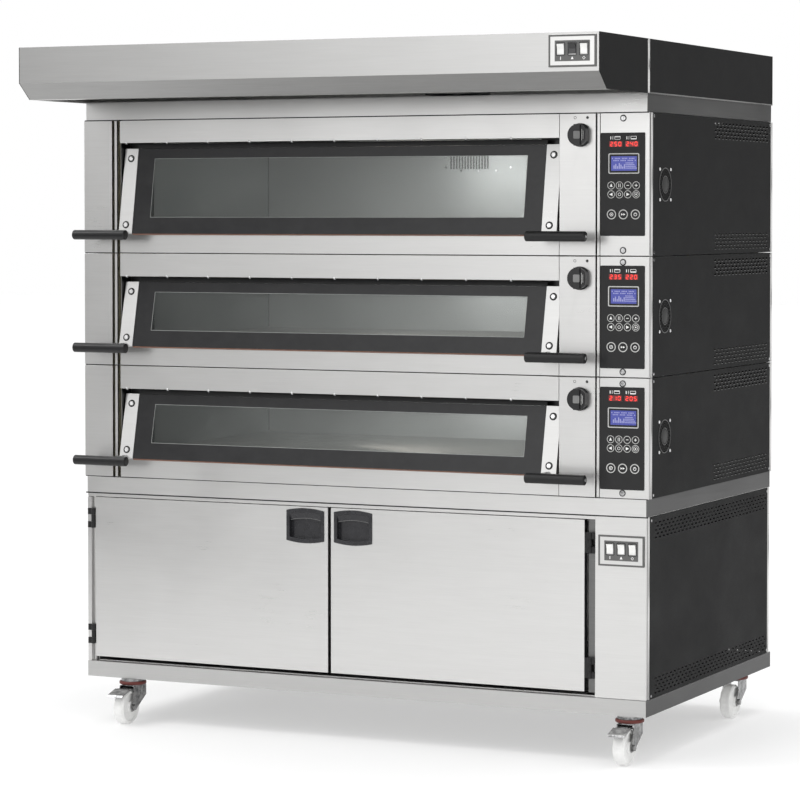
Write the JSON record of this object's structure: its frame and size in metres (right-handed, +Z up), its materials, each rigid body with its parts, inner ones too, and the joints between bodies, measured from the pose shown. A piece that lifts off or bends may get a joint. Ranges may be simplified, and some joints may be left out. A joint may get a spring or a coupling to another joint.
{
  "type": "deck oven",
  "caption": "Stacked baking deck oven with tilted glass doors, extraction hood, cabinet stand and swivel castors.",
  "frame": {"origin": "on the floor under the middle of the bounding box", "axes": "+X to the oven's right seen from the front, +Y to the back, +Z up"},
  "size_m": [1.77, 1.404, 2.01],
  "materials": {
    "stainless": "horizontally brushed",
    "liner_steel": "satin, heat tinted",
    "charcoal_paint": "fine texture, satin",
    "door_glass": "clear",
    "handle_black": "fine grain",
    "knob_black": "semi gloss",
    "panel_black": "satin film",
    "stone": "sawn",
    "heater_steel": "oxidised",
    "mineral_wool": "fibrous",
    "galvanised": "galvanised",
    "zinc": "zinc plated",
    "wheel_white": "moulded",
    "rocker_white": "moulded",
    "rocker_black": "moulded",
    "pull_black": "fine grain",
    "fan_black": "moulded"
  },
  "bodies": {
    "oven": {"lower_front_panels": "stainless", "lower_chamber_liner": "liner_steel", "middle_front_panels": "stainless", "middle_chamber_liner": "liner_steel", "upper_front_panels": "stainless", "upper_chamber_liner": "liner_steel", "baking_stones": "stone", "heating_elements": "heater_steel", "insulation": "mineral_wool", "control_panels": "panel_black", "fan_frames": "fan_black", "steam_ducts": "galvanised", "deck_frames": "stainless", "frame_bands": "stainless", "right_side_panels": "charcoal_paint", "left_side_panels": "charcoal_paint", "rear_panels": "galvanised", "fasteners": "zinc", "hood_canopy": "stainless", "cabinet_shell": "stainless", "cabinet_hinges": "pull_black", "switch_plates": "stainless", "base_frame": "stainless", "castor_heads": "zinc"},
    "lower_door": {"lower_door_glass": "door_glass", "lower_door_frame": "stainless", "lower_door_handles": "handle_black"},
    "lower_knob": {"lower_vent_knob": "knob_black"},
    "lower_fan": {"lower_fan_rotor": "fan_black"},
    "middle_door": {"middle_door_glass": "door_glass", "middle_door_frame": "stainless", "middle_door_handles": "handle_black"},
    "middle_knob": {"middle_vent_knob": "knob_black"},
    "middle_fan": {"middle_fan_rotor": "fan_black"},
    "upper_door": {"upper_door_glass": "door_glass", "upper_door_frame": "stainless", "upper_door_handles": "handle_black"},
    "upper_knob": {"upper_vent_knob": "knob_black"},
    "upper_fan": {"upper_fan_rotor": "fan_black"},
    "extractor": {"extractor_wheel": "galvanised"},
    "hood_rocker_left": {"hood_switch_left": "rocker_white"},
    "hood_rocker_middle": {"hood_switch_middle": "rocker_black"},
    "hood_rocker_right": {"hood_switch_right": "rocker_white"},
    "cabinet_rocker_left": {"cabinet_switch_left": "rocker_white"},
    "cabinet_rocker_middle": {"cabinet_switch_middle": "rocker_white"},
    "cabinet_rocker_right": {"cabinet_switch_right": "rocker_white"},
    "cabinet_left": {"cabinet_left_door": "stainless", "left_door_pull": "pull_black"},
    "cabinet_right": {"cabinet_right_door": "stainless", "right_door_pull": "pull_black"},
    "front_left_castor": {"front_left_castor_fork": "zinc"},
    "front_left_wheel": {"front_left_castor_wheel": "wheel_white"},
    "front_left_pedal": {"front_left_brake_pedal": "zinc"},
    "front_right_castor": {"front_right_castor_fork": "zinc"},
    "front_right_wheel": {"front_right_castor_wheel": "wheel_white"},
    "front_right_pedal": {"front_right_brake_pedal": "zinc"},
    "rear_left_castor": {"rear_left_castor_fork": "zinc"},
    "rear_left_wheel": {"rear_left_castor_wheel": "wheel_white"},
    "rear_right_castor": {"rear_right_castor_fork": "zinc"},
    "rear_right_wheel": {"rear_right_castor_wheel": "wheel_white"}
  },
  "joints": [
    {"name": "lower_door_hinge", "type": "hinge", "parent": "oven", "child": "lower_door", "pos_m": [-0.0705, -0.298, 0.959], "axis": [-1, 0, 0], "range_deg": [0, 80]},
    {"name": "lower_vent_knob_turn", "type": "hinge", "parent": "oven", "child": "lower_knob", "pos_m": [0.685, -0.34, 0.988], "axis": [0, 1, 0], "range_deg": [0, 90]},
    {"name": "lower_fan_spin", "type": "hinge", "parent": "oven", "child": "lower_fan", "pos_m": [0.869, -0.216, 0.884], "axis": [1, 0, 0], "continuous": true},
    {"name": "middle_door_hinge", "type": "hinge", "parent": "oven", "child": "middle_door", "pos_m": [-0.0705, -0.298, 1.287], "axis": [-1, 0, 0], "range_deg": [0, 80]},
    {"name": "middle_vent_knob_turn", "type": "hinge", "parent": "oven", "child": "middle_knob", "pos_m": [0.685, -0.34, 1.316], "axis": [0, 1, 0], "range_deg": [0, 90]},
    {"name": "middle_fan_spin", "type": "hinge", "parent": "oven", "child": "middle_fan", "pos_m": [0.869, -0.216, 1.212], "axis": [1, 0, 0], "continuous": true},
    {"name": "upper_door_hinge", "type": "hinge", "parent": "oven", "child": "upper_door", "pos_m": [-0.0705, -0.298, 1.675], "axis": [-1, 0, 0], "range_deg": [0, 80]},
    {"name": "upper_vent_knob_turn", "type": "hinge", "parent": "oven", "child": "upper_knob", "pos_m": [0.685, -0.34, 1.704], "axis": [0, 1, 0], "range_deg": [0, 90]},
    {"name": "upper_fan_spin", "type": "hinge", "parent": "oven", "child": "upper_fan", "pos_m": [0.869, -0.216, 1.57], "axis": [1, 0, 0], "continuous": true},
    {"name": "extractor_spin", "type": "hinge", "parent": "oven", "child": "extractor", "pos_m": [0, 0.36, 1.864], "axis": [0, 0, 1], "continuous": true},
    {"name": "hood_switch_left_tilt", "type": "hinge", "parent": "oven", "child": "hood_rocker_left", "pos_m": [0.7745, -0.693, 1.918], "axis": [1, 0, 0], "range_deg": [-16, 0]},
    {"name": "hood_switch_middle_tilt", "type": "hinge", "parent": "oven", "child": "hood_rocker_middle", "pos_m": [0.807, -0.693, 1.918], "axis": [1, 0, 0], "range_deg": [-16, 0]},
    {"name": "hood_switch_right_tilt", "type": "hinge", "parent": "oven", "child": "hood_rocker_right", "pos_m": [0.8395, -0.693, 1.918], "axis": [1, 0, 0], "range_deg": [-16, 0]},
    {"name": "cabinet_switch_left_tilt", "type": "hinge", "parent": "oven", "child": "cabinet_rocker_left", "pos_m": [0.7745, -0.339, 0.585], "axis": [1, 0, 0], "range_deg": [-16, 0]},
    {"name": "cabinet_switch_middle_tilt", "type": "hinge", "parent": "oven", "child": "cabinet_rocker_middle", "pos_m": [0.807, -0.339, 0.585], "axis": [1, 0, 0], "range_deg": [-16, 0]},
    {"name": "cabinet_switch_right_tilt", "type": "hinge", "parent": "oven", "child": "cabinet_rocker_right", "pos_m": [0.8395, -0.339, 0.585], "axis": [1, 0, 0], "range_deg": [-16, 0]},
    {"name": "cabinet_left_door_hinge", "type": "hinge", "parent": "oven", "child": "cabinet_left", "pos_m": [-0.858, -0.341, 0.425], "axis": [0, 0, -1], "range_deg": [0, 110]},
    {"name": "cabinet_right_door_hinge", "type": "hinge", "parent": "oven", "child": "cabinet_right", "pos_m": [0.715, -0.341, 0.425], "axis": [0, 0, 1], "range_deg": [0, 110]},
    {"name": "front_left_castor_swivel", "type": "hinge", "parent": "oven", "child": "front_left_castor", "pos_m": [-0.737, -0.32, 0.115], "axis": [0, 0, 1], "continuous": true},
    {"name": "front_left_wheel_roll", "type": "hinge", "parent": "front_left_castor", "child": "front_left_wheel", "pos_m": [-0.737, -0.358, 0.05], "axis": [1, 0, 0], "continuous": true},
    {"name": "front_left_brake_lift", "type": "hinge", "parent": "front_left_castor", "child": "front_left_pedal", "pos_m": [-0.737, -0.332, 0.101], "axis": [-1, 0, 0], "range_deg": [0, 15]},
    {"name": "front_right_castor_swivel", "type": "hinge", "parent": "oven", "child": "front_right_castor", "pos_m": [0.824, -0.32, 0.115], "axis": [0, 0, 1], "continuous": true},
    {"name": "front_right_wheel_roll", "type": "hinge", "parent": "front_right_castor", "child": "front_right_wheel", "pos_m": [0.824, -0.358, 0.05], "axis": [1, 0, 0], "continuous": true},
    {"name": "front_right_brake_lift", "type": "hinge", "parent": "front_right_castor", "child": "front_right_pedal", "pos_m": [0.824, -0.332, 0.101], "axis": [-1, 0, 0], "range_deg": [0, 15]},
    {"name": "rear_left_castor_swivel", "type": "hinge", "parent": "oven", "child": "rear_left_castor", "pos_m": [-0.737, 0.536, 0.115], "axis": [0, 0, 1], "continuous": true},
    {"name": "rear_left_wheel_roll", "type": "hinge", "parent": "rear_left_castor", "child": "rear_left_wheel", "pos_m": [-0.737, 0.498, 0.05], "axis": [1, 0, 0], "continuous": true},
    {"name": "rear_right_castor_swivel", "type": "hinge", "parent": "oven", "child": "rear_right_castor", "pos_m": [0.824, 0.536, 0.115], "axis": [0, 0, 1], "continuous": true},
    {"name": "rear_right_wheel_roll", "type": "hinge", "parent": "rear_right_castor", "child": "rear_right_wheel", "pos_m": [0.824, 0.498, 0.05], "axis": [1, 0, 0], "continuous": true}
  ]
}
